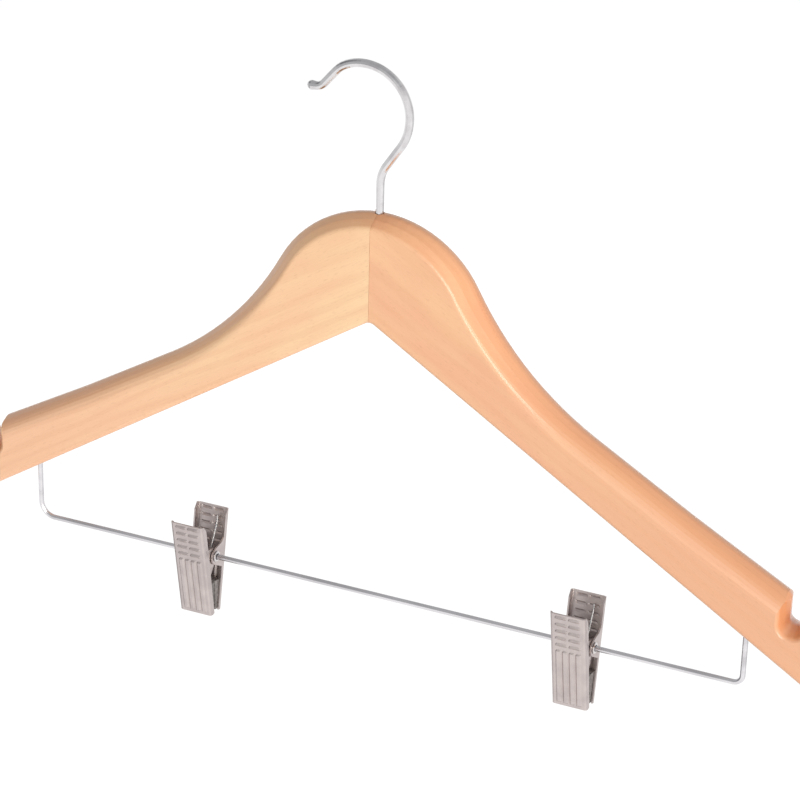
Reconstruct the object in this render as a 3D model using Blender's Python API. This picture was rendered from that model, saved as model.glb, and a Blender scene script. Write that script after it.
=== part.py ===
"""Clip hanger: two glued beech arms, a chrome swivel hook, a steel wire bar and two sliding sprung clips.

Run with: blender --background --python part.py
Units are metres, +Z is up, and the front of the hanger faces -Y.
The origin is the top of the space inside the hook, where the rail carries it.
"""

import math

import bmesh
import bpy
from mathutils import Matrix, Vector

# Wooden arms: the outline, measured from the centre plane and from the top of the crown
SPAN = 0.445
THICKNESS = 0.018
CROWN_RADIUS = 0.0512
NECK_RADIUS = 0.144
SHOULDER_ANGLE = math.radians(30.1)
SHOULDER_DROP = 0.0232
SHOULDER_SWEEP_RADIUS = 3.0
WEB_HEIGHT = 0.0451
UNDERSIDE_ANGLE = math.radians(31.5)
APEX_RADIUS = 0.004
TIP_TOP_RADIUS = 0.010
TIP_BOTTOM_RADIUS = 0.009

# Shoulder notch
NOTCH_DISTANCE = 0.1856
NOTCH_WIDTH = 0.0050
NOTCH_DEPTH = 0.0130
NOTCH_FLOOR_RADIUS = 0.0023
NOTCH_FLARE = math.radians(22)
NOTCH_LIP_DEPTH = 0.0013
NOTCH_LIP_FLARE = math.radians(30)

# Rounding of the arms' long edges. Three arcs lead from each face to a narrow flat in the middle:
# each entry is (depth, radius at the face, tilt where that arc ends, tilt where the last begins).
RIDGE_RADIUS = 0.0050
RIDGE_FLAT = 0.0004
EDGE_DEPTH = (THICKNESS - RIDGE_FLAT) / 2
CROWN_EDGE = (EDGE_DEPTH, 0.0030, math.radians(50), math.radians(72))
FLANK_EDGE = (EDGE_DEPTH, 0.0030, math.radians(35), math.radians(58))
SHOULDER_EDGE = (EDGE_DEPTH, 0.0080, math.radians(50), math.radians(70))
TIP_EDGE = (EDGE_DEPTH, 0.0060, math.radians(50), math.radians(70))
NOTCH_EDGE = (EDGE_DEPTH, 0.0026, math.radians(65), math.radians(80))
LOWER_EDGE = (0.0020, 0.0020, math.radians(35), math.radians(60))

# Two hidden tongues that join the arms at the centre
TONGUE_LENGTH = 0.0060
TONGUE_ROOT = 0.0032
TONGUE_TIP = 0.0022
TONGUE_SPACING = 0.0086
TONGUE_COVER = 0.0080
GLUE_GAP = 0.0001

# Swivel hook
HOOK_WIRE = 0.0036
HOOK_INNER_RADIUS = 0.0188
HOOK_OFFSET = 0.0082
HOOK_CENTRE_RISE = 0.0407
HOOK_NECK_RISE = 0.0165
HOOK_NECK_RADIUS = 0.0140
HOOK_WRAP = math.radians(112)
HOOK_CLOSING_RADIUS = 0.0130
HOOK_CLOSING_ANGLE = math.radians(26)
HOOK_LIP_RUN = 0.0100
HOOK_LIP_RADIUS = 0.0050
HOOK_LIP_LENGTH = 0.0061
HOOK_KNOB_GROWTH = 1.12
SHANK_DEPTH = 0.0220
SHANK_CLEARANCE = 0.00025
BORE_SPARE_DEPTH = 0.0020

# Wire bar
BAR_WIRE = 0.0024
BAR_SPAN = 0.3360
BAR_DROP = 0.1743
BAR_LEFT_BEND = 0.0070
BAR_RIGHT_BEND = 0.0040
BAR_SEAT_DEPTH = 0.0095
BAR_CLEARANCE = 0.0002
BAR_HOLE_SPARE = 0.0010

# Clips: where they sit on the bar, and the pressed jaws
LEFT_CLIP_X = -0.0850
RIGHT_CLIP_X = 0.0953
JAW_SHEET = 0.0007
JAW_WIDTH = 0.0160
JAW_LEAN = math.radians(9.8)
JAW_STANDOFF = 0.0091
JAW_ABOVE = 0.0204
JAW_BELOW = 0.0269
JAW_BEND_RADIUS = 0.0012
FLANGE_TOP_DEPTH = 0.0033
FLANGE_CORNER_DEPTH = 0.0014
FLANGE_CORNER_RUN = 0.0032
FLANGE_BOTTOM_DEPTH = 0.0026
EAR_RADIUS = 0.0038
EAR_HALF_WIDTH = 0.0062
EAR_JOGGLE = 0.0010
EAR_JOGGLE_RUN = 0.0013
RIB_COUNT = 5
RIB_PITCH = 0.0035
RIB_FIRST = 0.0016
RIB_HALF_HEIGHT = 0.0008
RIB_RELIEF = 0.00050
BEAD_COUNT = 4
BEAD_PITCH = 0.0030
BEAD_HALF_WIDTH = 0.0012
BEAD_CREST = 0.0005
BEAD_RELIEF = 0.00055
BEAD_END_RUN = 0.0008
BEAD_BOTTOM_MARGIN = 0.0014

# Hollow rivet that the bar runs through
RIVET_BORE_CLEARANCE = 0.0003
RIVET_WALL = 0.0004
RIVET_HEAD_RADIUS = 0.0025
RIVET_HEAD_THICKNESS = 0.0005
RIVET_SIDE_PLAY = 0.0002
EAR_HOLE_CLEARANCE = 0.0003

# Torsion spring
SPRING_WIRE = 0.0010
SPRING_BORE_CLEARANCE = 0.0004
SPRING_TURNS = 4
SPRING_TURN_GAP = 0.00045
SPRING_LEG = 0.0148
SPRING_TOE = 0.0032
SPRING_SEAT_GAP = 0.0003
SPRING_POINTS_PER_TURN = 10

# Grip pads
PAD_HEIGHT = 0.0140
PAD_SEAT_GAP = 0.0002
PAD_SIDE_GAP = 0.0003
PAD_MOUTH_GAP = 0.0003
PAD_TEETH = 6
PAD_TOOTH_DEPTH = 0.0005
PAD_LIFT = 0.0003

# Smoothness of the curved surfaces
OUTLINE_STEP = math.radians(9)
CROWN_STEP = math.radians(5)
EDGE_SEGMENTS = 4
FACE_ARC_SEGMENTS = 4
MIDDLE_ARC_SEGMENTS = 2
RIDGE_ARC_SEGMENTS = 2
NOTCH_CUT_OVERRUN = 0.0001
NOTCH_CUT_HEIGHT = 0.020
ROUND_SEGMENTS = 24
RIVET_SEGMENTS = 20

HOOK_RADIUS = HOOK_INNER_RADIUS + HOOK_WIRE / 2
CROWN_TOP = -(HOOK_INNER_RADIUS + HOOK_CENTRE_RISE)
RIVET_BORE = BAR_WIRE / 2 + RIVET_BORE_CLEARANCE
RIVET_RADIUS = RIVET_BORE + RIVET_WALL
SPRING_RADIUS = RIVET_RADIUS + SPRING_BORE_CLEARANCE + SPRING_WIRE / 2


def clear_scene():
    for item in list(bpy.data.objects):
        bpy.data.objects.remove(item, do_unlink=True)


def make_material(name, colour, roughness, metallic):
    material = bpy.data.materials.new(name)
    material.use_nodes = True
    shader = material.node_tree.nodes["Principled BSDF"]
    shader.inputs["Base Color"].default_value = (*colour, 1.0)
    shader.inputs["Roughness"].default_value = roughness
    shader.inputs["Metallic"].default_value = metallic
    material.diffuse_color = (*colour, 1.0)
    return material


def add_object(name, data, material, parent=None, smooth_angle=None):
    item = bpy.data.objects.new(name, data)
    bpy.context.scene.collection.objects.link(item)
    item.parent = parent
    if material is not None:
        data.materials.append(material)
    if smooth_angle is not None:
        data.shade_smooth()
        data.set_sharp_from_angle(angle=smooth_angle)
    return item


def add_empty(name, location, parent=None):
    item = bpy.data.objects.new(name, None)
    item.location = location
    item.parent = parent
    bpy.context.scene.collection.objects.link(item)
    return item


def mesh_from(name, bm):
    bmesh.ops.recalc_face_normals(bm, faces=bm.faces)
    mesh = bpy.data.meshes.new(name)
    bm.to_mesh(mesh)
    bm.free()
    return mesh


def combine(target, guide, operation):
    """Cut the guide out of the target or join it on, and keep the guide as a hidden shape."""
    guide.hide_render = True
    guide.display_type = "WIRE"
    boolean = target.modifiers.new(guide.name, "BOOLEAN")
    boolean.operation = operation
    boolean.solver = "EXACT"
    boolean.object = guide


def cut(target, cutter):
    combine(target, cutter, "DIFFERENCE")


def join(target, piece):
    combine(target, piece, "UNION")


def cylinder_cutter(name, radius, start, end, parent):
    """A round cutter between two points of the parent's frame."""
    axis = Vector(end) - Vector(start)
    bm = bmesh.new()
    bmesh.ops.create_cone(
        bm,
        cap_ends=True,
        segments=ROUND_SEGMENTS,
        radius1=radius,
        radius2=radius,
        depth=axis.length,
        matrix=axis.to_track_quat("Z", "Y").to_matrix().to_4x4(),
    )
    bmesh.ops.translate(bm, verts=bm.verts, vec=(Vector(start) + Vector(end)) / 2)
    return add_object(name, mesh_from(name, bm), None, parent)


def prism_cutter(name, outline, low, high, parent):
    """A cutter with an outline in X and Y, standing between two heights."""
    bm = bmesh.new()
    base = bm.faces.new([bm.verts.new((x, y, low)) for x, y in outline])
    extruded = bmesh.ops.extrude_face_region(bm, geom=[base])["geom"]
    raised = [item for item in extruded if isinstance(item, bmesh.types.BMVert)]
    bmesh.ops.translate(bm, verts=raised, vec=(0, 0, high - low))
    return add_object(name, mesh_from(name, bm), None, parent)


def arc_points(centre, radius, start, end, step):
    """Points on an arc, both ends included, from one angle to the other."""
    count = max(2, math.ceil(abs(end - start) / step))
    angles = [start + (end - start) * n / count for n in range(count + 1)]
    return [centre + radius * Vector((math.cos(a), math.sin(a))) for a in angles]


def fillet(before, corner, after, radius, step):
    """The arc that rounds one corner of a path, as points."""
    enter = (corner - before).normalized()
    leave = (after - corner).normalized()
    turn = enter.angle_signed(leave)
    if radius == 0 or abs(turn) < 1e-6:
        return [corner]
    reach = radius * math.tan(abs(turn) / 2)
    side = -math.copysign(1, turn)
    centre = corner - enter * reach + side * radius * Vector((-enter.y, enter.x))
    first = corner - enter * reach - centre
    start = math.atan2(first.y, first.x)
    return arc_points(centre, radius, start, start + side * abs(turn), step)


def blend(first, second, share):
    """Values part of the way from one row of values to another."""
    return tuple(a + (b - a) * share for a, b in zip(first, second))


def leaning(angle):
    """The direction that leans from straight up by an angle, towards positive X."""
    return Vector((math.sin(angle), math.cos(angle)))


def miter(enter, leave):
    """How far a corner moves, for each unit that both its sides move to the right of the path."""
    first = Vector((enter.y, -enter.x))
    second = Vector((leave.y, -leave.x))
    return (first + second) / (1 + first.dot(second))


def rounded_path(corners, step):
    """A path through (point, radius) corners, with its two ends kept sharp."""
    points = [corners[0][0]]
    for n in range(1, len(corners) - 1):
        corner, radius = corners[n]
        points += fillet(corners[n - 1][0], corner, corners[n + 1][0], radius, step)
    points.append(corners[-1][0])
    return points


class ArmOutline:
    """Side view of one arm, in X away from the centre and Z from the top of the crown."""

    def __init__(self):
        normal = Vector((math.sin(SHOULDER_ANGLE), math.cos(SHOULDER_ANGLE)))
        along = Vector((normal.y, -normal.x))
        self.crown_centre = Vector((0, -CROWN_RADIUS))
        height = (self.crown_centre - Vector((0, -SHOULDER_DROP))).dot(normal)
        reach = math.sqrt((CROWN_RADIUS + NECK_RADIUS) ** 2 - (NECK_RADIUS - height) ** 2)
        self.neck_centre = self.crown_centre + normal * (NECK_RADIUS - height) + along * reach
        self.neck_end = self.neck_centre - normal * NECK_RADIUS
        self.sweep_centre = self.neck_end + normal * SHOULDER_SWEEP_RADIUS
        towards_neck = self.neck_centre - self.crown_centre
        self.crown_end_angle = math.atan2(towards_neck.y, towards_neck.x)

    def top(self, x):
        """Height of the shoulder's upper edge, past the neck."""
        across = x - self.sweep_centre.x
        return self.sweep_centre.y - math.sqrt(SHOULDER_SWEEP_RADIUS**2 - across**2)

    def under(self, x):
        """Height of the lower edge."""
        return -WEB_HEIGHT - abs(x) * math.tan(UNDERSIDE_ANGLE)

    def on_top(self, x):
        return Vector((x, self.top(x)))

    def on_under(self, x):
        return Vector((x, self.under(x)))

    def points(self):
        """The closed outline as (point, edge rounding), running a little past the centre plane."""
        past_centre = -2 * TONGUE_LENGTH
        crown_start = math.acos(past_centre / CROWN_RADIUS)
        crown = arc_points(
            self.crown_centre, CROWN_RADIUS, crown_start, self.crown_end_angle, CROWN_STEP
        )
        shoulder_start = math.pi / 2 - SHOULDER_ANGLE + math.pi
        neck = arc_points(
            self.neck_centre,
            NECK_RADIUS,
            self.crown_end_angle + math.pi,
            shoulder_start,
            CROWN_STEP / 2,
        )
        outline = []
        for point in crown:
            share = min(1.0, max(0.0, point.x / crown[-1].x))
            outline.append((point, blend(CROWN_EDGE, FLANK_EDGE, share)))
        for n, point in enumerate(neck[1:], 1):
            share = n / (len(neck) - 1)
            outline.append((point, blend(FLANK_EDGE, SHOULDER_EDGE, share)))
        before = self.on_top((self.neck_end.x + NOTCH_DISTANCE) / 2)
        outline.append((before, SHOULDER_EDGE))

        tip = SPAN / 2
        last = self.on_under(past_centre)
        corners = [
            (self.on_top(tip), TIP_TOP_RADIUS, TIP_EDGE),
            (self.on_under(tip), TIP_BOTTOM_RADIUS, TIP_EDGE),
            (self.on_under(tip - 2 * TIP_BOTTOM_RADIUS), 0.0, LOWER_EDGE),
            (self.on_under(0), APEX_RADIUS, LOWER_EDGE),
        ]
        for n, (corner, radius, edge) in enumerate(corners):
            after = corners[n + 1][0] if n + 1 < len(corners) else last
            outline += [(p, edge) for p in fillet(before, corner, after, radius, OUTLINE_STEP)]
            before = corner
        outline.append((last, LOWER_EDGE))
        return outline

    def notch_points(self, widening):
        """The notch as a path from its inner lip round the floor to its outer lip, made wider."""
        rim = self.top(NOTCH_DISTANCE)
        floor = rim - NOTCH_DEPTH
        lip = rim - NOTCH_LIP_DEPTH
        inner = NOTCH_DISTANCE
        outer = inner + NOTCH_WIDTH
        outer_rise = self.top(outer + NOTCH_DEPTH * math.tan(NOTCH_FLARE)) - NOTCH_LIP_DEPTH - floor
        outer_lip = Vector((outer + outer_rise * math.tan(NOTCH_FLARE), floor + outer_rise))
        outer_lean = NOTCH_FLARE + NOTCH_LIP_FLARE
        corners = [
            Vector((inner, lip)) + NOTCH_CUT_HEIGHT * leaning(-NOTCH_LIP_FLARE),
            Vector((inner, lip)),
            Vector((inner, floor)),
            Vector((outer, floor)),
            outer_lip,
            outer_lip + NOTCH_CUT_HEIGHT * leaning(outer_lean),
        ]
        moved = []
        for n, corner in enumerate(corners):
            enter = corner - corners[n - 1] if n > 0 else corners[1] - corner
            leave = corners[n + 1] - corner if n + 1 < len(corners) else enter
            moved.append(corner + widening * miter(enter.normalized(), leave.normalized()))
        path = moved[:2]
        for n in (2, 3):
            radius = NOTCH_FLOOR_RADIUS + widening
            path += fillet(moved[n - 1], moved[n], moved[n + 1], radius, OUTLINE_STEP)
        return path + moved[4:]


def edge_section(edge):
    """Half of a rounded edge as (inset, distance from the middle), from the flat face inwards."""
    depth, face_radius, face_tilt, ridge_tilt = edge
    ridge_radius = min(RIDGE_RADIUS, depth)
    left = depth - face_radius * (1 - math.cos(face_tilt)) - ridge_radius * math.cos(ridge_tilt)
    middle_radius = left / (math.cos(face_tilt) - math.cos(ridge_tilt))
    inset = 0.0
    from_middle = THICKNESS / 2 - depth
    section = [(inset, from_middle)]
    for radius, start, end, count in (
        (ridge_radius, math.pi / 2, ridge_tilt, RIDGE_ARC_SEGMENTS),
        (middle_radius, ridge_tilt, face_tilt, MIDDLE_ARC_SEGMENTS),
        (face_radius, face_tilt, 0.0, FACE_ARC_SEGMENTS),
    ):
        for n in range(1, count + 1):
            tilt = start + (end - start) * n / count
            section.append(
                (
                    inset + radius * (math.sin(start) - math.sin(tilt)),
                    from_middle + radius * (math.cos(tilt) - math.cos(start)),
                )
            )
        inset, from_middle = section[-1]
    return section[::-1]


def edge_levels(edge):
    """The whole rounded edge as (inset, Y), from the front face to the back face."""
    section = edge_section(edge)
    front = [(inset, -depth) for inset, depth in section]
    return front + [(inset, depth) for inset, depth in reversed(section)]


def notch_cutter(name, outline, side, parent):
    """The shape that cuts a notch with its own edges rounded towards both faces."""
    bm = bmesh.new()
    rings = []
    overrun = 1 + NOTCH_CUT_OVERRUN / (THICKNESS / 2)
    for widening, y in edge_levels(NOTCH_EDGE):
        path = outline.notch_points(widening)
        rings.append([bm.verts.new((side * p.x, overrun * y, p.y)) for p in path])
    count = len(rings[0])
    for lower, upper in zip(rings, rings[1:]):
        for n in range(count):
            after = (n + 1) % count
            bm.faces.new((lower[n], lower[after], upper[after], upper[n]))
    bm.faces.new(rings[0])
    bm.faces.new(rings[-1])
    return add_object(name, mesh_from(name, bm), None, parent)


def arm_mesh(name, outline, side):
    """Loft the outline through the thickness, with each long edge rounded over by its own radius."""
    points = [point for point, _ in outline]
    edges = [edge for _, edge in outline]
    count = len(points)
    outward = []
    for n in range(count):
        tangent = (points[min(n + 1, count - 1)] - points[max(n - 1, 0)]).normalized()
        outward.append(Vector((-tangent.y, tangent.x)))

    bm = bmesh.new()
    rings = []
    for levels in zip(*[edge_levels(edge) for edge in edges]):
        ring = []
        for point, normal, (inset, y) in zip(points, outward, levels):
            inner = point - normal * inset
            ring.append(bm.verts.new((side * inner.x, y, inner.y)))
        rings.append(ring)
    for lower, upper in zip(rings, rings[1:]):
        for n in range(count):
            after = (n + 1) % count
            bm.faces.new((lower[n], lower[after], upper[after], upper[n]))
    bm.faces.new(rings[0])
    bm.faces.new(rings[-1])
    return mesh_from(name, bm)


def tongue_outline(centre, root_x, widening):
    """Plan of one tongue, or of its groove when it is widened by the glue gap."""
    root = TONGUE_ROOT / 2 + widening
    point = TONGUE_TIP / 2 + widening
    reach = -TONGUE_LENGTH - widening
    return [
        (root_x, centre - root),
        (reach, centre - point),
        (reach, centre + point),
        (root_x, centre + root),
    ]


def build_arms(frame, outline, wood):
    points = outline.points()
    half_gap = GLUE_GAP / 2
    bore_end = -SHANK_DEPTH - BORE_SPARE_DEPTH
    bore = cylinder_cutter(
        "hook_bore", HOOK_WIRE / 2 + SHANK_CLEARANCE, (0, 0, bore_end), (0, 0, WEB_HEIGHT), frame
    )
    for name, side in (("left_arm", -1), ("right_arm", 1)):
        arm = add_object(
            name, arm_mesh(name, points, side), wood[side], frame, math.radians(35)
        )
        cut(arm, notch_cutter(name + "_notch", outline, side, frame))
        cut(arm, bore)
        plane = side * half_gap
        far = plane - side * SPAN
        beyond = [
            (plane, -THICKNESS),
            (far, -THICKNESS),
            (far, THICKNESS),
            (plane, THICKNESS),
        ]
        cut(arm, prism_cutter(name + "_trim", beyond, -SPAN, SPAN, frame))
        for place, centre in (("front", -TONGUE_SPACING / 2), ("back", TONGUE_SPACING / 2)):
            low = TONGUE_COVER - WEB_HEIGHT
            if side < 0:
                groove = tongue_outline(centre, half_gap, GLUE_GAP)
                title = place + "_groove"
                slot = prism_cutter(title, groove, low - GLUE_GAP, GLUE_GAP - TONGUE_COVER, frame)
                cut(arm, slot)
            else:
                tongue = tongue_outline(centre, TONGUE_LENGTH / 3, 0.0)
                title = place + "_tongue"
                join(arm, prism_cutter(title, tongue, low, -TONGUE_COVER, frame))
        x = side * BAR_SPAN / 2
        mouth = outline.under(x)
        hole_top = mouth + BAR_SEAT_DEPTH + BAR_HOLE_SPARE
        radius = BAR_WIRE / 2 + BAR_CLEARANCE
        hole = cylinder_cutter(
            name + "_bar_hole", radius, (x, 0, mouth - THICKNESS), (x, 0, hole_top), frame
        )
        cut(arm, hole)


def wire_object(name, path, wire, bevel_resolution, material, parent):
    """A round wire along a path of (point, radius factor), as a curve with filled ends."""
    curve = bpy.data.curves.new(name, "CURVE")
    curve.dimensions = "3D"
    curve.twist_mode = "MINIMUM"
    curve.bevel_depth = wire / 2
    curve.bevel_resolution = bevel_resolution
    curve.use_fill_caps = True
    spline = curve.splines.new("POLY")
    spline.points.add(len(path) - 1)
    for target, (point, factor) in zip(spline.points, path):
        target.co = (*point, 1.0)
        target.radius = factor
    spline.use_smooth = True
    return add_object(name, curve, material, parent)


def round_end(tip, direction, wire, growth):
    """Points that close a wire in a dome: the direction runs towards its tip."""
    radius = growth * wire / 2
    steps = [math.pi / 2 * n / EDGE_SEGMENTS for n in range(EDGE_SEGMENTS)]
    steps.append(math.radians(84))
    centre = tip - direction * radius
    return [(centre + direction * radius * math.sin(a), growth * math.cos(a)) for a in steps]


def build_hook(chrome):
    """One wire: shank in the wood, bent neck, round crook, and a lip turned outwards."""
    centre = Vector((0, -HOOK_INNER_RADIUS))
    neck = Vector((HOOK_OFFSET, CROWN_TOP + HOOK_NECK_RISE))
    shank_end = Vector((HOOK_OFFSET, CROWN_TOP - SHANK_DEPTH))
    away = neck - centre
    meet = math.atan2(away.y, away.x) + math.acos(HOOK_RADIUS / away.length)
    crook = arc_points(centre, HOOK_RADIUS, meet, HOOK_WRAP, CROWN_STEP)
    closed = HOOK_WRAP + HOOK_CLOSING_ANGLE
    closing_centre = centre.lerp(crook[-1], 1 - HOOK_CLOSING_RADIUS / HOOK_RADIUS)
    crook += arc_points(closing_centre, HOOK_CLOSING_RADIUS, HOOK_WRAP, closed, OUTLINE_STEP)[1:]
    heading = Vector((-math.sin(closed), math.cos(closed)))
    lip_corner = crook[-1] + heading * HOOK_LIP_RUN
    lip_end = lip_corner + Vector((-HOOK_LIP_LENGTH, 0))

    shank = fillet(shank_end, neck, crook[0], HOOK_NECK_RADIUS, OUTLINE_STEP / 2)
    lip = fillet(crook[-1], lip_corner, lip_end, HOOK_LIP_RADIUS, OUTLINE_STEP)
    flat = [shank_end + Vector((0, HOOK_WIRE / 2))] + shank + crook + lip
    path = [(Vector((p.x, 0, p.y)), 1.0) for p in flat]
    point = Vector((shank_end.x, 0, shank_end.y))
    tip = Vector((lip_end.x, 0, lip_end.y))
    path.insert(0, (point, 0.35))
    path += round_end(tip, Vector((-1, 0, 0)), HOOK_WIRE, HOOK_KNOB_GROWTH)
    return wire_object("swivel_hook", path, HOOK_WIRE, 4, chrome, None)


def build_bar(frame, outline, steel):
    half = BAR_SPAN / 2
    seat = outline.under(half) + BAR_SEAT_DEPTH
    corners = [
        (Vector((-half, seat)), 0.0),
        (Vector((-half, -BAR_DROP)), BAR_LEFT_BEND),
        (Vector((half, -BAR_DROP)), BAR_RIGHT_BEND),
        (Vector((half, seat)), 0.0),
    ]
    path = [(Vector((p.x, 0, p.y)), 1.0) for p in rounded_path(corners, OUTLINE_STEP)]
    return wire_object("clip_bar", path, BAR_WIRE, 3, steel, frame)


def flange_depth(height):
    """How deep the side flange is at a height from the pivot.

    It narrows towards the mouth, and its upper corner is cut off below the finger edge.
    """
    from_top = JAW_ABOVE - height
    share = from_top / (JAW_ABOVE + JAW_BELOW)
    depth = FLANGE_TOP_DEPTH + share * (FLANGE_BOTTOM_DEPTH - FLANGE_TOP_DEPTH)
    corner_rise = (FLANGE_TOP_DEPTH - FLANGE_CORNER_DEPTH) / FLANGE_CORNER_RUN
    return min(depth, FLANGE_CORNER_DEPTH + from_top * corner_rise)


def ear_depth(height):
    """How deep the jaw's side is at a height from the pivot: the flange, or the ear on it."""
    if abs(height) >= EAR_HALF_WIDTH:
        return flange_depth(height)
    root = flange_depth(math.copysign(EAR_HALF_WIDTH, height))
    corner = Vector((EAR_HALF_WIDTH, root - JAW_STANDOFF))
    bearing = math.atan2(corner.y, corner.x) + math.acos(EAR_RADIUS / corner.length)
    touch = EAR_RADIUS * Vector((math.cos(bearing), math.sin(bearing)))
    if abs(height) > touch.x:
        share = (EAR_HALF_WIDTH - abs(height)) / (EAR_HALF_WIDTH - touch.x)
        return root + share * (JAW_STANDOFF + touch.y - root)
    return JAW_STANDOFF + math.sqrt(EAR_RADIUS**2 - height**2)


def jaw_rows():
    """Heights of the mesh rows of a jaw, each with the rise of its ribs and its beads, 0 to 1."""
    rows = {JAW_ABOVE: (0, 0), JAW_ABOVE - FLANGE_CORNER_RUN: (0, 0), -JAW_BELOW: (0, 0)}
    for n in range(RIB_COUNT):
        middle = JAW_ABOVE - RIB_FIRST - n * RIB_PITCH
        rows[middle + RIB_HALF_HEIGHT] = (0, 0)
        rows[middle] = (1, 0)
        rows[middle - RIB_HALF_HEIGHT] = (0, 0)
    bead_top = JAW_ABOVE - RIB_FIRST - RIB_COUNT * RIB_PITCH + RIB_HALF_HEIGHT
    bead_bottom = BEAD_BOTTOM_MARGIN - JAW_BELOW
    rows[bead_top] = (0, 0)
    rows[bead_top - BEAD_END_RUN] = (0, 1)
    rows[bead_bottom + BEAD_END_RUN] = (0, 1)
    rows[bead_bottom] = (0, 0)
    for share in (0.2, 0.4, 0.58, 0.72, 1.0):
        rows[-share * EAR_HALF_WIDTH] = (0, 1)
    return sorted(rows.items())


def jaw_columns():
    """Places across the flat of a jaw, each with the rise of the beads and of the ribs there."""
    columns = []
    for n in range(BEAD_COUNT):
        middle = (n - (BEAD_COUNT - 1) / 2) * BEAD_PITCH
        rib = 0 if n in (0, BEAD_COUNT // 2) else 1
        columns += [
            (middle - BEAD_HALF_WIDTH, 0, rib),
            (middle - BEAD_CREST, 1, 1),
            (middle + BEAD_CREST, 1, 1),
            (middle + BEAD_HALF_WIDTH, 0, 1 - rib),
        ]
    return columns


def jaw_section(height, rib, bead, joggle):
    """The middle of the sheet across a jaw at one height, from ear edge to ear edge."""
    half_sheet = JAW_SHEET / 2
    wall = JAW_WIDTH / 2 - half_sheet
    bend = JAW_BEND_RADIUS - half_sheet
    depth = ear_depth(height)
    flange = flange_depth(height)
    joggle_end = min(depth, flange + EAR_JOGGLE_RUN)
    inset = joggle * (joggle_end - flange) / EAR_JOGGLE_RUN
    turn = math.radians(45)
    side = [
        (wall - inset, depth),
        (wall - inset, joggle_end),
        (wall, flange),
        (wall, half_sheet + bend),
        (wall - bend * (1 - math.cos(turn)), half_sheet + bend * (1 - math.sin(turn))),
        (wall - bend, half_sheet),
    ]
    flat = [
        (x, half_sheet - max(bead * bead_rise * BEAD_RELIEF, rib * rib_rise * RIB_RELIEF))
        for x, bead_rise, rib_rise in jaw_columns()
    ]
    left = [(-x, y) for x, y in side]
    return left + flat + list(reversed(side))


def jaw_mesh(name, joggle):
    """A pressed channel with ears: rows of sections, thickened later. The pivot is at the origin."""
    bm = bmesh.new()
    grid = []
    for height, (rib, bead) in jaw_rows():
        section = jaw_section(height, rib, bead, joggle)
        grid.append([bm.verts.new((x, y - JAW_STANDOFF, height)) for x, y in section])
    for lower, upper in zip(grid, grid[1:]):
        for n in range(len(lower) - 1):
            bm.faces.new((lower[n], lower[n + 1], upper[n + 1], upper[n]))
    bmesh.ops.remove_doubles(bm, verts=bm.verts, dist=1e-6)
    bmesh.ops.dissolve_degenerate(bm, edges=bm.edges, dist=1e-6)
    return mesh_from(name, bm)


def rivet_mesh(name):
    """A turned sleeve with a flared head at each end, on the X axis."""
    inside = JAW_WIDTH / 2 + RIVET_SIDE_PLAY
    end = inside + RIVET_HEAD_THICKNESS
    chamfer = RIVET_HEAD_THICKNESS / 2
    profile = [
        (-end, RIVET_BORE),
        (-end, RIVET_HEAD_RADIUS - chamfer),
        (-end + chamfer, RIVET_HEAD_RADIUS),
        (-inside, RIVET_HEAD_RADIUS),
        (-inside, RIVET_RADIUS),
        (inside, RIVET_RADIUS),
        (inside, RIVET_HEAD_RADIUS),
        (end - chamfer, RIVET_HEAD_RADIUS),
        (end, RIVET_HEAD_RADIUS - chamfer),
        (end, RIVET_BORE),
    ]
    bm = bmesh.new()
    verts = [bm.verts.new((x, 0, r)) for x, r in profile]
    loop = [bm.edges.new((verts[n], verts[(n + 1) % len(verts)])) for n in range(len(verts))]
    bmesh.ops.spin(
        bm,
        geom=verts + loop,
        cent=(0, 0, 0),
        axis=(1, 0, 0),
        angle=2 * math.pi,
        steps=RIVET_SEGMENTS,
        use_merge=True,
    )
    bmesh.ops.remove_doubles(bm, verts=bm.verts, dist=1e-6)
    return mesh_from(name, bm)


def spring_path():
    """Toe, leg, coil, leg and toe of the torsion spring, as points round the X axis."""
    lean = JAW_LEAN
    seat = JAW_STANDOFF - JAW_SHEET - SPRING_SEAT_GAP - SPRING_WIRE / 2
    splay = lean + math.asin((seat - SPRING_RADIUS) / SPRING_LEG)
    along_leg = Vector((math.sin(splay), math.cos(splay)))
    along_jaw = Vector((math.sin(lean), math.cos(lean)))
    leave = SPRING_RADIUS * Vector((math.cos(splay), -math.sin(splay)))
    knee = leave + along_leg * SPRING_LEG
    toe = knee + along_jaw * SPRING_TOE
    leg = [toe] + list(reversed(fillet(leave, knee, toe, SPRING_WIRE * 2, OUTLINE_STEP)))

    pitch = SPRING_WIRE + SPRING_TURN_GAP
    start = -splay
    swept = (math.pi - 2 * splay) + 2 * math.pi * SPRING_TURNS
    length = pitch * swept / (2 * math.pi)
    count = round(swept / (2 * math.pi) * SPRING_POINTS_PER_TURN)
    path = [Vector((length / 2, p.x, p.y)) for p in leg]
    for n in range(count + 1):
        share = n / count
        angle = start - swept * share
        x = length * (0.5 - share)
        path.append(
            Vector((x, SPRING_RADIUS * math.cos(angle), SPRING_RADIUS * math.sin(angle)))
        )
    path += [Vector((-length / 2, -p.x, p.y)) for p in reversed(leg)]
    return path


def least_gap(path, wire):
    """The least clear distance between stretches of a wire that are over half a turn apart."""
    dense = []
    for a, b in zip(path, path[1:]):
        steps = max(1, math.ceil((b - a).length / wire))
        dense += [a.lerp(b, n / steps) for n in range(steps)]
    apart = round(math.pi * SPRING_RADIUS / wire)
    nearest = min(
        (p - q).length
        for n, p in enumerate(dense)
        for q in dense[n + apart :]
    )
    return nearest - wire


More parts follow.
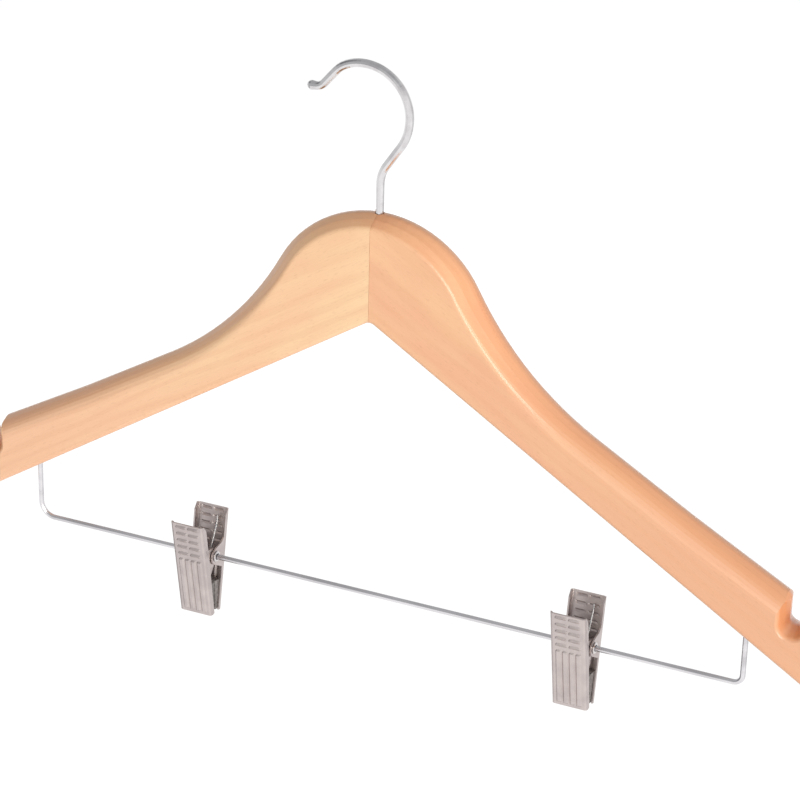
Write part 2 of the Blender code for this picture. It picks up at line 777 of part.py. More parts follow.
def pad_mesh(name):
    """A soft pad in the mouth of a jaw: toothed where it grips, flat against the sheet."""
    back = JAW_SHEET + PAD_SEAT_GAP - JAW_STANDOFF
    bottom = PAD_LIFT - JAW_BELOW
    top = bottom + PAD_HEIGHT
    half = JAW_WIDTH / 2 - JAW_SHEET - PAD_SIDE_GAP

    def mouth(height, recess):
        """Distance of the gripping face from the pivot plane, parallel to the other pad's."""
        plane = -PAD_MOUTH_GAP / 2 - recess
        return (plane + height * math.sin(JAW_LEAN)) / math.cos(JAW_LEAN)

    bend = JAW_BEND_RADIUS - JAW_SHEET
    tooth = PAD_HEIGHT / PAD_TEETH
    profile = [(back, top), (back, bottom)]
    for n in range(PAD_TEETH):
        root = bottom + n * tooth
        crest = root + tooth / 2
        profile.append((mouth(root, PAD_TOOTH_DEPTH), root))
        profile.append((mouth(crest, 0.0), crest))
    profile.append((mouth(top, PAD_TOOTH_DEPTH), top))

    bm = bmesh.new()
    rings = []
    for x, seat in ((-half, bend), (bend - half, 0.0), (half - bend, 0.0), (half, bend)):
        ring = []
        for y, z in profile:
            lift = seat if y == back else 0.0
            ring.append(bm.verts.new((x, y + lift, z)))
        rings.append(ring)
    for left, right in zip(rings, rings[1:]):
        for n in range(len(profile)):
            after = (n + 1) % len(profile)
            bm.faces.new((left[n], left[after], right[after], right[n]))
    bm.faces.new(rings[0])
    bm.faces.new(rings[-1])
    return mesh_from(name, bm)


def build_clip(side_name, x, frame, materials):
    """Two pressed jaws on a hollow rivet, pushed shut by a torsion spring, with a pad in each."""
    pivot = add_empty(side_name + "_clip_pivot", (x, 0, -BAR_DROP), frame)
    reach = JAW_WIDTH
    hole_radius = RIVET_RADIUS + EAR_HOLE_CLEARANCE
    hole = cylinder_cutter(
        side_name + "_ear_hole", hole_radius, (-reach, 0, 0), (reach, 0, 0), pivot
    )
    for place, turn, joggle in (("front", 0.0, EAR_JOGGLE), ("back", math.pi, 0.0)):
        pose = Matrix.Rotation(turn, 4, "Z") @ Matrix.Rotation(JAW_LEAN, 4, "X")
        name = side_name + "_clip_" + place + "_jaw"
        jaw = add_object(
            name, jaw_mesh(name, joggle), materials["nickel"], pivot, math.radians(40)
        )
        jaw.matrix_local = pose
        sheet = jaw.modifiers.new("sheet", "SOLIDIFY")
        sheet.thickness = JAW_SHEET
        sheet.offset = 0.0
        sheet.use_even_offset = True
        cut(jaw, hole)
        name = side_name + "_clip_" + place + "_pad"
        pad = add_object(name, pad_mesh(name), materials["pad"], pivot, math.radians(30))
        pad.matrix_local = pose

    name = side_name + "_clip_rivet"
    add_object(name, rivet_mesh(name), materials["rivet"], pivot, math.radians(40))
    path = spring_path()
    name = side_name + "_clip_spring"
    wire_object(name, [(p, 1.0) for p in path], SPRING_WIRE, 1, materials["spring"], pivot)
    gap = least_gap(path, SPRING_WIRE)
    print(f"{name}: least gap between its turns {1000 * gap:.3f} mm")


def main():
    clear_scene()
    wood = {
        -1: make_material("beech_left", (0.97, 0.63, 0.36), 0.35, 0.0),
        1: make_material("beech_right", (0.92, 0.52, 0.31), 0.35, 0.0),
    }
    chrome = make_material("chrome_plate", (0.80, 0.80, 0.81), 0.12, 1.0)
    steel = make_material("bright_steel", (0.68, 0.69, 0.70), 0.25, 1.0)
    clip_materials = {
        "nickel": make_material("satin_nickel", (0.56, 0.51, 0.50), 0.38, 1.0),
        "rivet": make_material("rivet_steel", (0.62, 0.60, 0.59), 0.30, 1.0),
        "spring": make_material("spring_steel", (0.72, 0.71, 0.70), 0.25, 1.0),
        "pad": make_material("grip_rubber", (0.42, 0.40, 0.39), 0.60, 0.0),
    }
    frame = add_empty("hanger_centre", (HOOK_OFFSET, 0, CROWN_TOP))
    outline = ArmOutline()
    build_arms(frame, outline, wood)
    build_hook(chrome)
    build_bar(frame, outline, steel)
    build_clip("left", LEFT_CLIP_X, frame, clip_materials)
    build_clip("right", RIGHT_CLIP_X, frame, clip_materials)
    bpy.context.view_layer.update()


main()
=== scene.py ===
# %% [markdown]
# # A wooden clip hanger, dressed for the camera
#
# The frame brings two beech arms, a chrome hook, a wire bar and two sprung clips, each
# already in place and able to move. This lesson sets up the view of the photograph, gives
# every surface its finish, draws the two springs more finely, and lights the result like
# a product that hangs in a white studio.

import math

import bpy
from mathutils import Matrix, Vector


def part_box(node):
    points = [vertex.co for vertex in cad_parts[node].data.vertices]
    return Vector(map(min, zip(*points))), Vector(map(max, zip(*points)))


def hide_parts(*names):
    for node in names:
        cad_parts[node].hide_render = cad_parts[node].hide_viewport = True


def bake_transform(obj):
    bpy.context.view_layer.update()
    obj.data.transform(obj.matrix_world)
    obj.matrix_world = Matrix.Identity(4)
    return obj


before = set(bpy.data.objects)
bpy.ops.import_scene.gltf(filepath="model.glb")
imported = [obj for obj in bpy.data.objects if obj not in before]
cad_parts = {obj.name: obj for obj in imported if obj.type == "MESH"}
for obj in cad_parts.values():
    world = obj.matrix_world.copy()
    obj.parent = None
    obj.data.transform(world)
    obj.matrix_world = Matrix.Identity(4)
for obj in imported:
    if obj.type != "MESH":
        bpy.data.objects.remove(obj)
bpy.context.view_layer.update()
MILLIMETRE = 0.001

# %% [markdown]
# ## The camera
#
# A camera can be aimed by hand, by a tracking constraint, or by its matrix. The matrix is
# used here, because the view was worked out from the outline of the wood, the bar and the
# clips: about a metre away, 25 degrees round to the right and 23 degrees up. The camera is
# also turned by a degree and a half about its own axis, because the photograph is.

# %% Place the camera
AZIMUTH = math.radians(25)
ELEVATION = math.radians(23.2)
ROLL = math.radians(1.42)
TARGET = Vector((0.0193, 0, -0.1402))
DISTANCE = 1.089
LENS = 117.59
SENSOR_WIDTH = 36
NEAREST_SEEN = 0.01

back = Vector(
    (
        math.sin(AZIMUTH) * math.cos(ELEVATION),
        -math.cos(AZIMUTH) * math.cos(ELEVATION),
        math.sin(ELEVATION),
    )
)
level = Vector((math.cos(AZIMUTH), math.sin(AZIMUTH), 0))
upright = back.cross(level)
right = math.cos(ROLL) * level + math.sin(ROLL) * upright
above = math.cos(ROLL) * upright - math.sin(ROLL) * level

lens = bpy.data.cameras.new("camera")
lens.lens = LENS
lens.sensor_width = SENSOR_WIDTH
lens.clip_start = NEAREST_SEEN
camera = bpy.data.objects.new("camera", lens)
camera.matrix_world = Matrix.Translation(TARGET + back * DISTANCE) @ Matrix(
    (right, above, back)
).transposed().to_4x4()
bpy.context.scene.collection.objects.link(camera)
bpy.context.scene.camera = camera
print("camera at", [round(value, 3) for value in camera.matrix_world.translation])

# %% [markdown]
# ## A small language for shaders
#
# A finish could be an image wrapped round the part, but an image blurs up close and shows
# seams. The finishes here are arithmetic on positions instead, so they stay sharp and run
# through the piece as real grain does. `Field` wraps one socket of a node tree, so that
# the arithmetic can be written with plain operators.

# %% Shader fields


class Field:
    """One output socket that takes part in arithmetic."""

    def __init__(self, tree, socket):
        self.tree = tree
        self.socket = socket

    def node(self, kind, inputs=(), output=0, **settings):
        """A new node with its settings, its inputs by name or number, and one output as a field."""
        made = self.tree.nodes.new(kind)
        for key, value in settings.items():
            setattr(made, key, value)
        for key, value in dict(inputs).items():
            if isinstance(value, Field):
                self.tree.links.new(value.socket, made.inputs[key])
            else:
                made.inputs[key].default_value = value
        return Field(self.tree, made.outputs[output])

    def math(self, operation, *others):
        """One of the shader's sums, of this field and the others."""
        return self.node("ShaderNodeMath", enumerate((self, *others)), operation=operation)

    def __add__(self, other):
        return self.math("ADD", other)

    def __sub__(self, other):
        return self.math("SUBTRACT", other)

    def __rsub__(self, other):
        return self.node("ShaderNodeMath", {0: other, 1: self}, operation="SUBTRACT")

    def __mul__(self, other):
        return self.math("MULTIPLY", other)

    __radd__ = __add__
    __rmul__ = __mul__

    def sin(self):
        return self.math("SINE")

    def size(self):
        """This field without its sign."""
        return self.math("ABSOLUTE")

    def span(self, low, high):
        """The value low where this field is 0, and high where it is 1."""
        return self * (high - low) + low

    def between(self, low, high):
        """0 below low, 1 above high, with a soft change from one to the other."""
        inputs = {"Value": self, "From Min": low, "From Max": high}
        return self.node("ShaderNodeMapRange", inputs, interpolation_type="SMOOTHSTEP")

    def mix(self, low, high):
        """The colour low where this field is 0, and high where it is 1."""
        inputs = {"Factor": self, 6: low, 7: high}
        return self.node("ShaderNodeMix", inputs, output=2, data_type="RGBA")

    def split(self):
        """The X, Y and Z of a position, as three fields."""
        apart = self.node("ShaderNodeSeparateXYZ", {0: self}).socket.node
        return [Field(self.tree, socket) for socket in apart.outputs]

    def dot(self, direction):
        """How far this position lies along a direction."""
        return self.node(
            "ShaderNodeVectorMath",
            {0: self, 1: direction},
            output=1,
            operation="DOT_PRODUCT",
        )

    def noise(self, scale, detail=2.0, roughness=0.5):
        """Soft noise from 0 to 1 at this position."""
        inputs = {"Vector": self, "Scale": scale, "Detail": detail, "Roughness": roughness}
        return self.node("ShaderNodeTexNoise", inputs)

    def marks(self, counts, detail=2.0, roughness=0.5, seed=0.0):
        """Noise with its own number of marks to the metre along each axis of this position."""
        inputs = {0: self, 1: counts, 2: (seed, 0, 0)}
        drawn_out = self.node("ShaderNodeVectorMath", inputs, operation="MULTIPLY_ADD")
        return drawn_out.noise(1.0, detail, roughness)


def join(x, y, z):
    """A position put together from three fields."""
    return x.node("ShaderNodeCombineXYZ", {0: x, 1: y, 2: z})


def colour(red, green, blue):
    """An sRGB colour of 0 to 255 as the linear values that a shader takes."""
    linear = []
    for value in (red, green, blue):
        value /= 255
        linear.append(value / 12.92 if value <= 0.04045 else ((value + 0.055) / 1.055) ** 2.4)
    return (*linear, 1.0)


class Finish:
    """A material on one Principled shader, painted from object positions."""

    def __init__(self, name, **constants):
        self.material = bpy.data.materials.new(name)
        self.material.use_nodes = True
        tree = self.material.node_tree
        self.shader = tree.nodes["Principled BSDF"]
        for key, value in constants.items():
            self.shader.inputs[key.replace("_", " ")].default_value = value
        source = tree.nodes.new("ShaderNodeTexCoord")
        self.place = Field(tree, source.outputs["Object"])
        self.facing = Field(tree, source.outputs["Normal"])

    def paint(self, name, field):
        """Lets a field drive one of the shader's inputs."""
        self.material.node_tree.links.new(field.socket, self.shader.inputs[name])

    def bump(self, height, distance):
        """Relief so deep that a height of 1 stands this distance above a height of 0."""
        inputs = {"Height": height, "Distance": distance, "Strength": 1.0}
        self.paint("Normal", self.place.node("ShaderNodeBump", inputs))


print("shader fields ready")

# %% [markdown]
# ## Varnished beech
#
# Each arm is sawn from one board, so its grain runs along the arm. The grain could be drawn
# on each face, but then it would break at the edges. Here it fills the whole board: growth
# layers are rings round a pith far below the arm, and every face shows the cut it makes
# through them.

# %% Directions in a board
SLOPE = math.radians(30.5)
RING_SPACING = 3.6 * MILLIMETRE
RING_WANDER = 2.2 * RING_SPACING
PITH_BELOW = 55 * MILLIMETRE
PITH_BEHIND = 30 * MILLIMETRE


def board(finish, side):
    """A position along the grain, across it and through the board, and how far fibres end here."""
    grain = (side * math.cos(SLOPE), 0, -math.sin(SLOPE))
    along = finish.place.dot(grain)
    across = finish.place.dot((side * math.sin(SLOPE), 0, math.cos(SLOPE)))
    through = finish.place.split()[1]
    end_grain = finish.facing.dot(grain).size()
    return join(along, across, through), end_grain


def growth_layers(position, wander):
    """0 to 1 through each growth layer, in rings round a pith outside the board."""
    along, across, through = position.split()
    below = across + PITH_BELOW
    behind = through - PITH_BEHIND
    from_pith = (below * below + behind * behind).math("SQRT")
    turns = (from_pith + wander * RING_WANDER) * (2 * math.pi / RING_SPACING)
    return turns.sin().span(0.5, 1.0).between(0.35, 1.0)


print("rings every", RING_SPACING / MILLIMETRE, "mm")

# %% [markdown]
# Beech is a quiet wood: pale growth layers, fine fibres, and short darker flecks where the
# cut meets the rays. The rounded edges were sanded across the fibres and drank more of the
# tinted varnish, so they are a deeper orange than the flat faces. Each board deepens a little
# from the middle to its tip. The right board is darker than the left and deepens more: partly
# its own colour, and partly painted shade where the light falls off towards the right.

# %% Beech

# Marks to the metre along the grain, across it and through the board
WANDER_MARKS = (9, 60, 60)
FIBRE_MARKS = (60, 2600, 2600)
RAY_MARKS = (330, 2100, 2100)
CLOUD_MARKS = (22, 70, 70)

# Where the board starts to deepen towards its tip and where it is deepest, and how much
DEEPENING = (20 * MILLIMETRE, 260 * MILLIMETRE)
TIP_SHARE = 0.85

# How strongly each kind of mark tints the board, and towards which colour
LAYER_TINT = (0.15, colour(230, 162, 118))
FIBRE_TINT = (0.15, colour(222, 158, 114))
FLECK_TINT = (0.15, colour(186, 122, 84))
EDGE_TINT = (0.30, colour(246, 156, 94))
END_GRAIN_TINT = (0.45, colour(224, 142, 88))
FIBRE_RELIEF = 0.025 * MILLIMETRE


def beech(name, side, pale, deep, tip, seed):
    """Varnished beech whose grain runs down towards the left (side -1) or the right (side 1)."""
    finish = Finish(name, Coat_Roughness=0.18, Coat_IOR=1.5, IOR=1.45)
    position, end_grain = board(finish, side)
    outward = position.split()[0].between(*DEEPENING)
    layers = growth_layers(position, position.marks(WANDER_MARKS, 2.0, seed=seed))
    fibres = position.marks(FIBRE_MARKS, 3.0, 0.6, seed)
    flecks = position.marks(RAY_MARKS, 1.0, seed=seed).between(0.60, 0.74)
    cloud = position.marks(CLOUD_MARKS, 2.0, seed=seed)
    rounded = (1 - finish.facing.split()[1].size()).between(0.05, 0.45)

    middle = cloud.between(0.34, 0.68).mix(pale, deep)
    wood = (outward * TIP_SHARE).mix(middle, tip)
    for mark, (share, tint) in (
        (layers, LAYER_TINT),
        (fibres.between(0.45, 0.75), FIBRE_TINT),
        (flecks, FLECK_TINT),
        (rounded, EDGE_TINT),
        (end_grain.between(0.08, 0.75), END_GRAIN_TINT),
    ):
        wood = (mark * share).mix(wood, tint)
    finish.paint("Base Color", wood)
    finish.paint("Roughness", fibres.span(0.34, 0.50))
    finish.paint("Coat Weight", cloud.span(0.55, 0.80))
    finish.bump(fibres * 0.6 + layers * 0.3 - flecks * 0.5, FIBRE_RELIEF)
    return finish.material


beech_left = beech(
    "beech_left",
    side=-1,
    pale=colour(255, 216, 170),
    deep=colour(253, 206, 162),
    tip=colour(254, 199, 160),
    seed=3.1,
)
# Darker than the left board and deeper at its tip: partly the wood's own colour, partly painted
# shade where the light falls off to the right
beech_right = beech(
    "beech_right",
    side=1,
    pale=colour(250, 197, 152),
    deep=colour(245, 185, 144),
    tip=colour(233, 175, 137),
    seed=11.7,
)
print("beech:", beech_left.name, beech_right.name)

# %% [markdown]
# ## Metals and rubber
#
# A plain metal shader looks like a toy, because real metal is never equally bright all
# over. Chrome is nearly a mirror with a faint haze. Drawn wire keeps fine lines along its
# length from the die. The jaws are pressed from sheet and plated with satin nickel, which
# is warm and broken up by tumbling marks. The pads are matt rubber with a fine grit.

# %% Metals and rubber

# Marks to the metre along X, Y and Z. The bar runs along X, and the jaws' sheet was rolled
# along Z.
DIE_LINES = (90, 5200, 5200)
RUBBED_PLACES = (30, 200, 200)
ROLLING_LINES = (3600, 900, 140)

# How far the finest marks stand out of each surface
CHROME_RELIEF = 0.004 * MILLIMETRE
WIRE_RELIEF = 0.008 * MILLIMETRE
NICKEL_RELIEF = 0.012 * MILLIMETRE
RUBBER_RELIEF = 0.02 * MILLIMETRE

# Colours of the metals and the rubber, and of what breaks them up
HAZED_CHROME = colour(206, 202, 204)
NICKEL = colour(206, 195, 192)
STAINED_NICKEL = colour(193, 182, 180)
WORN_NICKEL = colour(222, 215, 213)
WEAR_SHARE = 0.35
RUBBER = colour(118, 112, 110)
DUSTY_RUBBER = colour(150, 143, 140)


def chrome(name, tint):
    """Nearly a mirror, with a faint haze and pits too small to see one by one."""
    finish = Finish(name, Metallic=1.0)
    haze = finish.place.noise(240.0, 3.0)
    pits = finish.place.noise(5200.0, 2.0)
    finish.paint("Base Color", haze.between(0.35, 0.75).mix(tint, HAZED_CHROME))
    finish.paint("Roughness", haze.span(0.05, 0.12))
    finish.bump(pits, CHROME_RELIEF)
    return finish.material


def drawn_wire(name, tint, dull):
    """Wire with fine lines from the die, and duller places where it was rubbed."""
    finish = Finish(name, Metallic=1.0)
    lines = finish.place.marks(DIE_LINES)
    rub = finish.place.marks(RUBBED_PLACES)
    finish.paint("Base Color", rub.between(0.35, 0.70).mix(tint, dull))
    finish.paint("Roughness", lines.span(0.12, 0.28) + rub * 0.12)
    finish.bump(lines, WIRE_RELIEF)
    return finish.material


def satin_nickel(name):
    """Plated sheet with rolling lines under tumbling marks, and stains of two greys."""
    finish = Finish(name, Metallic=1.0)
    rolled = finish.place.marks(ROLLING_LINES)
    tumble = finish.place.noise(1500.0, 3.0, 0.6)
    stain = finish.place.noise(170.0, 3.0)
    plated = stain.between(0.30, 0.72).mix(NICKEL, STAINED_NICKEL)
    worn = (tumble.between(0.58, 0.75) * WEAR_SHARE).mix(plated, WORN_NICKEL)
    finish.paint("Base Color", worn)
    finish.paint("Roughness", tumble.span(0.30, 0.46) + rolled * 0.10)
    finish.bump(tumble * 0.7 + rolled * 0.5, NICKEL_RELIEF)
    return finish.material


def rubber(name):
    """Matt rubber with a fine grit and a little dust."""
    finish = Finish(name, IOR=1.5)
    grit = finish.place.noise(3800.0, 3.0, 0.65)
    dust = finish.place.noise(420.0, 3.0)
    finish.paint("Base Color", dust.between(0.35, 0.75).mix(RUBBER, DUSTY_RUBBER))
    finish.paint("Roughness", grit.span(0.50, 0.70))
    finish.bump(grit, RUBBER_RELIEF)
    return finish.material


hook_chrome = chrome("hook_chrome", colour(222, 220, 221))
bar_steel = drawn_wire("bar_steel", colour(226, 223, 226), colour(204, 201, 204))
spring_steel = drawn_wire("spring_steel", colour(218, 216, 216), colour(186, 183, 183))
rivet_steel = chrome("rivet_steel", colour(210, 205, 204))
jaw_nickel = satin_nickel("jaw_nickel")
pad_rubber = rubber("pad_rubber")
print("metals and rubber ready")

# %% [markdown]
# A node of the frame keeps its mesh, and only its material changes. Each arm has its own
# board, so the arms, the hook and the bar are found by their full names. The pieces of the
# two clips are found by the last word of theirs, since both clips are alike.

# %% Put the finishes on the frame's nodes
finishes = {
    "left_arm": beech_left,
    "right_arm": beech_right,
    "swivel_hook": hook_chrome,
    "clip_bar": bar_steel,
    "jaw": jaw_nickel,
    "pad": pad_rubber,
    "rivet": rivet_steel,
    "spring": spring_steel,
}
for name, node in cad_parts.items():
    key = name if name in finishes else name.split("_")[-1]
    node.data.materials.clear()
    node.data.materials.append(finishes[key])
print("finished nodes:", len(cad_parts))

# %% [markdown]
# ## Springs
#
# A torsion spring sits on each rivet. Its back leg follows the back jaw and its front leg
# follows the front jaw. The frame's spring is coarse, so a finer one replaces it: a node
# group sweeps a round wire along the spring's path into a plain mesh.

# %% Springs
JAW_LEAN = math.radians(9.8)
SPRING_RADIUS = 2.8 * MILLIMETRE
SPRING_WIRE = 1.0 * MILLIMETRE
SPRING_SEAT = 7.6 * MILLIMETRE
SPRING_LEG = 14.8 * MILLIMETRE
SPRING_TOE = 3.2 * MILLIMETRE
SPRING_PITCH = 1.45 * MILLIMETRE
SPRING_TURNS = 4
WIRE_SIDES = 16
KNEE_POINTS = 7
TURN_POINTS = 36


def spring_points():
    """The middle line of the spring, from one toe round the coil to the other, about its pivot."""
    splay = JAW_LEAN + math.asin((SPRING_SEAT - SPRING_RADIUS) / SPRING_LEG)
    along_leg = Vector((0, math.sin(splay), math.cos(splay)))
    along_jaw = Vector((0, math.sin(JAW_LEAN), math.cos(JAW_LEAN)))
    leave = SPRING_RADIUS * Vector((0, math.cos(splay), -math.sin(splay)))
    knee = leave + along_leg * SPRING_LEG
    toe = knee + along_jaw * SPRING_TOE
    before = knee - along_leg * SPRING_WIRE
    after = knee + along_jaw * SPRING_WIRE
    leg = [toe]
    for step in range(KNEE_POINTS):
        share = step / (KNEE_POINTS - 1)
        leg.append(after.lerp(knee, share).lerp(knee.lerp(before, share), share))
    swept = math.pi - 2 * splay + 2 * math.pi * SPRING_TURNS
    length = SPRING_PITCH * swept / (2 * math.pi)
    count = round(swept / (2 * math.pi) * TURN_POINTS)
    points = [point + Vector((length / 2, 0, 0)) for point in leg]
    for step in range(count + 1):
        angle = -splay - swept * step / count
        ring = SPRING_RADIUS * Vector((0, math.cos(angle), math.sin(angle)))
        points.append(ring + Vector((length * (0.5 - step / count), 0, 0)))
    points += [Vector((-length / 2, -p.y, p.z)) for p in reversed(leg)]
    return points


def wire_sweep():
    """A node group that sweeps a round wire along a path and closes its ends."""
    tree = bpy.data.node_groups.new("wire_sweep", "GeometryNodeTree")
    tree.interface.new_socket("Geometry", in_out="INPUT", socket_type="NodeSocketGeometry")
    for title, kind in (
        ("Wire Radius", "NodeSocketFloat"),
        ("Sides", "NodeSocketInt"),
        ("Finish", "NodeSocketMaterial"),
    ):
        tree.interface.new_socket(title, in_out="INPUT", socket_type=kind)
    tree.interface.new_socket("Geometry", in_out="OUTPUT", socket_type="NodeSocketGeometry")
    start = tree.nodes.new("NodeGroupInput")
    end = tree.nodes.new("NodeGroupOutput")
    circle = tree.nodes.new("GeometryNodeCurvePrimitiveCircle")
    sweep = tree.nodes.new("GeometryNodeCurveToMesh")
    smooth = tree.nodes.new("GeometryNodeSetShadeSmooth")
    whole = tree.nodes.new("GeometryNodeRealizeInstances")
    dress = tree.nodes.new("GeometryNodeSetMaterial")
    sweep.inputs["Fill Caps"].default_value = True
    link = tree.links.new
    link(start.outputs["Sides"], circle.inputs["Resolution"])
    link(start.outputs["Wire Radius"], circle.inputs["Radius"])
    link(start.outputs["Geometry"], sweep.inputs["Curve"])
    link(circle.outputs["Curve"], sweep.inputs["Profile Curve"])
    link(sweep.outputs["Mesh"], smooth.inputs["Geometry"])
    link(smooth.outputs["Geometry"], whole.inputs["Geometry"])
    link(whole.outputs["Geometry"], dress.inputs["Geometry"])
    link(start.outputs["Finish"], dress.inputs["Material"])
    link(dress.outputs["Geometry"], end.inputs["Geometry"])
    return tree


def swept_wire(name, points, group, values):
    """The plain mesh that the node group makes of a path."""
    path = bpy.data.curves.new(name + "_path", "CURVE")
    path.dimensions = "3D"
    spline = path.splines.new("POLY")
    spline.points.add(len(points) - 1)
    for target, point in zip(spline.points, points):
        target.co = (*point, 1.0)
    carrier = bpy.data.objects.new(name + "_path", path)
    bpy.context.scene.collection.objects.link(carrier)
    nodes = carrier.modifiers.new("sweep", "NODES")
    nodes.node_group = group
    for item in group.interface.items_tree:
        if item.name in values:
            nodes[item.identifier] = values[item.name]
    bpy.context.view_layer.update()
    graph = bpy.context.evaluated_depsgraph_get()
    mesh = bpy.data.meshes.new_from_object(carrier.evaluated_get(graph))
    mesh.name = name
    bpy.data.objects.remove(carrier, do_unlink=True)
    piece = bpy.data.objects.new(name, mesh)
    bpy.context.scene.collection.objects.link(piece)
    return piece


sweep_group = wire_sweep()
sweep_values = {"Wire Radius": SPRING_WIRE / 2, "Sides": WIRE_SIDES, "Finish": spring_steel}
for side in ("left", "right"):
    low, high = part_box(side + "_clip_rivet")
    pivot = (Vector(low) + Vector(high)) / 2
    points = [pivot + point for point in spring_points()]
    spring = swept_wire(side + "_fine_spring", points, sweep_group, sweep_values)
    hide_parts(side + "_clip_spring")
    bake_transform(spring)
    print(spring.name, len(spring.data.polygons), "faces")

# %% [markdown]
# ## The white floor
#
# The photograph's background is plain white. A brighter lamp could burn the floor out to
# white, but it would bleach the wood too. The floor and the surroundings are white to the
# camera only, by the Light Path node, and light the object softly.
#
# Mirrors need something to show. A chrome wire in an all white room has no edges, so its
# reflections show a studio instead: a bright front, dark flags at both sides, a white wall
# behind that pales the rims of the wood, and a dim ceiling.

# %% Floor
FLOOR_HEIGHT = -0.9
FLOOR_REACH = 9.0
corners = [
    (-FLOOR_REACH, -FLOOR_REACH, FLOOR_HEIGHT),
    (FLOOR_REACH, -FLOOR_REACH, FLOOR_HEIGHT),
    (FLOOR_REACH, FLOOR_REACH, FLOOR_HEIGHT),
    (-FLOOR_REACH, FLOOR_REACH, FLOOR_HEIGHT),
]
floor_mesh = bpy.data.meshes.new("floor")
floor_mesh.from_pydata(corners, [], [(0, 1, 2, 3)])
floor = bpy.data.objects.new("floor", floor_mesh)
bpy.context.scene.collection.objects.link(floor)
print("floor at", FLOOR_HEIGHT)

# %% Floor paper


def ray_kind(tree, kind):
    """1 where the light path is of this kind, else 0."""
    return Field(tree, tree.nodes.new("ShaderNodeLightPath").outputs[kind])


def grey(level, tint=0.0):
    """A grey that leans towards blue by the tint."""
    return (level * (1 - tint), level, level * (1 + tint), 1)


# The studio in the mirrors: where its front and its right side lie, and its three greys
STUDIO_FRONT = (0.42, -0.91, 0)
STUDIO_RIGHT = (0.91, 0.42, 0)
WALLS = grey(1.0)
CEILING = grey(0.50, 0.02)
FLAGS = grey(0.24, 0.03)

# Soft edges of the flags and of the ceiling, from none of them to all of them
FLAG_BACK_EDGE = (-0.50, -0.28)
FLAG_FRONT_EDGE = (-0.05, 0.22)
FLAG_SIDE_EDGE = (0.40, 0.80)
CEILING_EDGE = (0.08, 0.75)
RIGHT_FLAG_SHARE = 0.3
CEILING_RISE_AHEAD = 0.15
CEILING_FALL_ASIDE = 0.45


def studio(heading):
    """What a mirror sees of the studio in a direction: flags at the sides and a dim ceiling."""
    ahead = heading.dot(STUDIO_FRONT)
    aside = heading.dot(STUDIO_RIGHT)
    beyond_back = ahead.between(*FLAG_BACK_EDGE)
    before_front = 1 - ahead.between(*FLAG_FRONT_EDGE)
    left_flag = (0 - aside).between(*FLAG_SIDE_EDGE)
    right_flag = aside.between(*FLAG_SIDE_EDGE) * RIGHT_FLAG_SHARE
    rise = heading.split()[2] + ahead * CEILING_RISE_AHEAD - aside * CEILING_FALL_ASIDE
    above = rise.between(*CEILING_EDGE).mix(WALLS, CEILING)
    return (beyond_back * before_front * (left_flag + right_flag)).mix(above, FLAGS)


def by_ray(tree, soft, seen, mirrored):
    """One colour for soft light, one for the camera, and one for reflections."""
    shown = ray_kind(tree, "Is Camera Ray").mix(soft, seen)
    shown = ray_kind(tree, "Is Glossy Ray").mix(shown, mirrored)
    return ray_kind(tree, "Is Transmission Ray").mix(shown, mirrored)


PAPER_GLOW = grey(0.36, 0.03)
PAPER_SEEN = grey(0.97)

paper = Finish(
    "floor_paper",
    Base_Color=grey(0.12),
    Roughness=0.9,
    Specular_IOR_Level=0.0,
    Emission_Strength=1.0,
)
heading = paper.place.node("ShaderNodeVectorMath", {0: paper.place}, operation="NORMALIZE")
shown = by_ray(paper.material.node_tree, PAPER_GLOW, PAPER_SEEN, studio(heading))
paper.paint("Emission Color", shown)
floor_mesh.materials.append(paper.material)
print("floor paper ready")

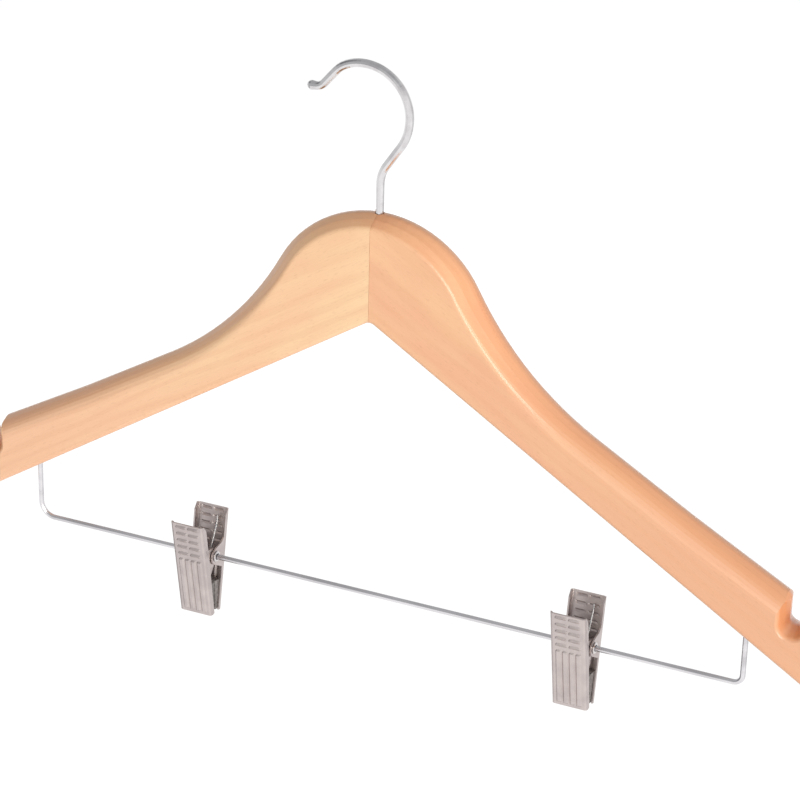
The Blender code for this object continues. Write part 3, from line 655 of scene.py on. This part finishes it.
# %% [markdown]
# ## The light
#
# The wood tells where the light was: the right arm's rounded edge is as bright as its
# face, while the left arm's edge falls to brown within a few millimetres. So a long low
# lamp stands to the right at the hanger's own height, and a small one in front draws the
# crisp streak on the flank. No lamp shines from above. A lamp behind touches only the back,
# so that the hanger can be turned round and still be seen. The two long lamps are kept out
# of reflections, where they would draw white bars on the chrome.

# %% Lamps


def lamp(name, direction, distance, power, width, height, tint=(1, 1, 1), reflected=True):
    """A flat lamp that looks at the hanger from a direction and a distance."""
    data = bpy.data.lights.new(name, "AREA")
    data.shape = "RECTANGLE"
    data.size = width
    data.size_y = height
    data.energy = power
    data.color = tint
    item = bpy.data.objects.new(name, data)
    item.location = TARGET + Vector(direction).normalized() * distance
    aim = TARGET - item.location
    item.rotation_euler = aim.to_track_quat("-Z", "Y").to_euler()
    item.visible_glossy = reflected
    bpy.context.scene.collection.objects.link(item)


lamp(
    "streak",
    direction=(0.36, -0.92, 0.14),
    distance=2.0,
    power=14,
    width=0.80,
    height=0.80,
    tint=(1, 0.96, 0.88),
)
lamp(
    "window",
    direction=(0.85, -0.52, 0.0),
    distance=3.2,
    power=58,
    width=3.0,
    height=1.0,
    reflected=False,
)
lamp(
    "behind",
    direction=(-0.40, 0.91, 0.0),
    distance=2.8,
    power=40,
    width=2.4,
    height=0.8,
    reflected=False,
)
print("lamps ready")

# %% [markdown]
# Past the floor lies the rest of the room. It lights the hanger a little more from its open
# side, in front and to the right, than from the other, so that the left arm's edge stays
# darker than its face. The camera sees it white and mirrors see the studio, as on the floor.

# %% Surroundings
OPEN_SIDE = (0.50, -0.84, 0.18)
OPEN_SIDE_EDGE = (-0.35, 0.85)
ROOM_FAR = grey(0.18, 0.08)
ROOM_NEAR = grey(0.50)
ROOM_SEEN = grey(1.0)

world = bpy.data.worlds.new("studio")
world.use_nodes = True
bpy.context.scene.world = world
tree = world.node_tree
sky = tree.nodes["Background"]
coordinates = tree.nodes.new("ShaderNodeTexCoord")
heading = Field(tree, coordinates.outputs["Generated"])
soft = heading.dot(OPEN_SIDE).between(*OPEN_SIDE_EDGE).mix(ROOM_FAR, ROOM_NEAR)
shown = by_ray(tree, soft, ROOM_SEEN, studio(heading))
tree.links.new(shown.socket, sky.inputs["Color"])
bpy.context.scene.view_settings.view_transform = "Standard"
print("surroundings ready")
